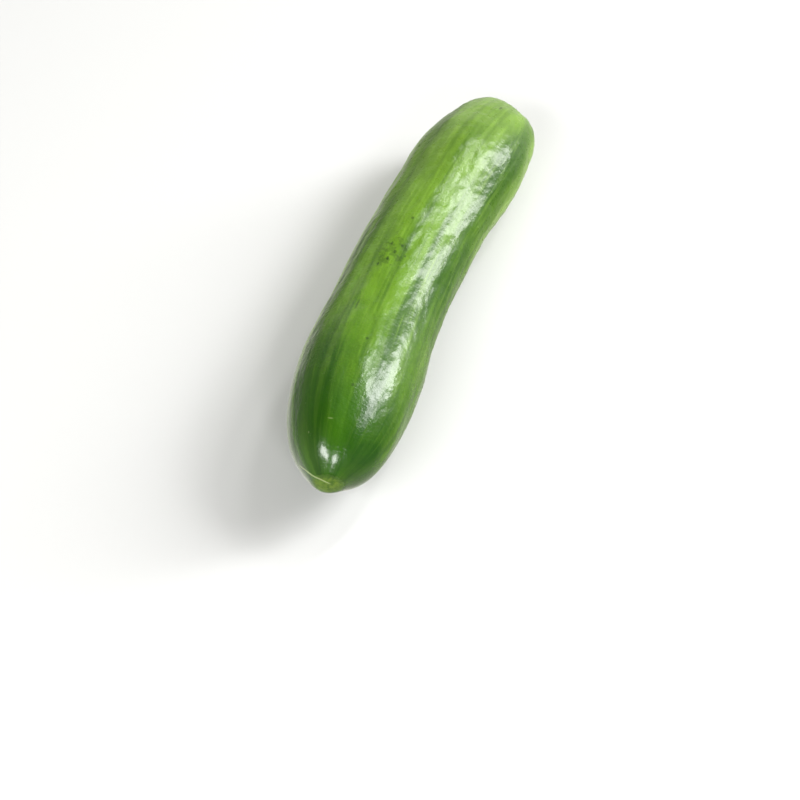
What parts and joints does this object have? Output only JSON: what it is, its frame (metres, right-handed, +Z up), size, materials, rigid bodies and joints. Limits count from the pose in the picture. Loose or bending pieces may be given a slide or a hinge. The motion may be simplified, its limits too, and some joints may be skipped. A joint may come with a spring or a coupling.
{
  "type": "cucumber",
  "caption": "Small smooth-skinned snacking cucumber, whole and slightly bent, plumper towards its blossom end, lying on a flat spot of its belly.",
  "frame": {"origin": "on the surface that the fruit lies on, at the middle of its length and width", "axes": "+X from the blossom end to the stem end, +Y towards the side that it bends out to, +Z up"},
  "size_m": [0.1494, 0.0372, 0.0357],
  "materials": {
    "skin": "glossy waxy green skin, paler at the stem end, with soft lengthwise stripes and fine uneven relief"
  },
  "bodies": {
    "root": {"cucumber": "skin"}
  },
  "joints": []
}
